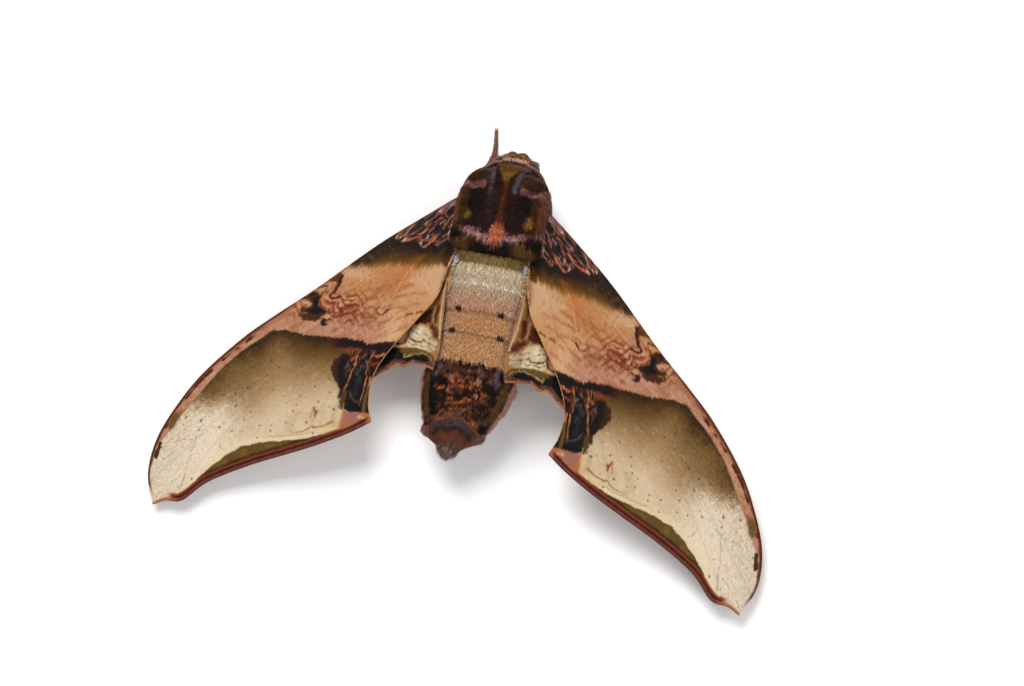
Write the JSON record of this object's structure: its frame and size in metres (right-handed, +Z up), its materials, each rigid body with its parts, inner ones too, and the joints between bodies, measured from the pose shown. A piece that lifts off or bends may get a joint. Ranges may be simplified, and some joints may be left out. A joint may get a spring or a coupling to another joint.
{
  "type": "resting hawkmoth model",
  "caption": "Life-size still model of an Amplypterus mansoni hawkmoth at rest, wings swept back and held a little off the floor.",
  "frame": {"origin": "on the floor under the middle of the whole moth", "axes": "+X towards the moth's own left, +Y towards its tail, +Z up from the floor"},
  "size_m": [0.0916, 0.0643, 0.0163],
  "materials": {
    "body_scales": "matte",
    "abdomen_scales": "matte",
    "wing_scales": "matte",
    "leg_scales": "matte",
    "eye": "gloss"
  },
  "bodies": {
    "root": {"thorax": "body_scales", "head": "body_scales", "abdomen": "abdomen_scales", "tegula_left": "body_scales", "tegula_right": "body_scales", "forewing_left": "wing_scales", "forewing_right": "wing_scales", "hindwing_left": "wing_scales", "hindwing_right": "wing_scales", "eye_left": "eye", "eye_right": "eye", "palp_left": "body_scales", "palp_right": "body_scales", "proboscis": "leg_scales", "antenna_left": "leg_scales", "antenna_right": "leg_scales", "foreleg_left": "leg_scales", "foreleg_right": "leg_scales", "midleg_left": "leg_scales", "midleg_right": "leg_scales", "hindleg_left": "leg_scales", "hindleg_right": "leg_scales"}
  },
  "joints": []
}
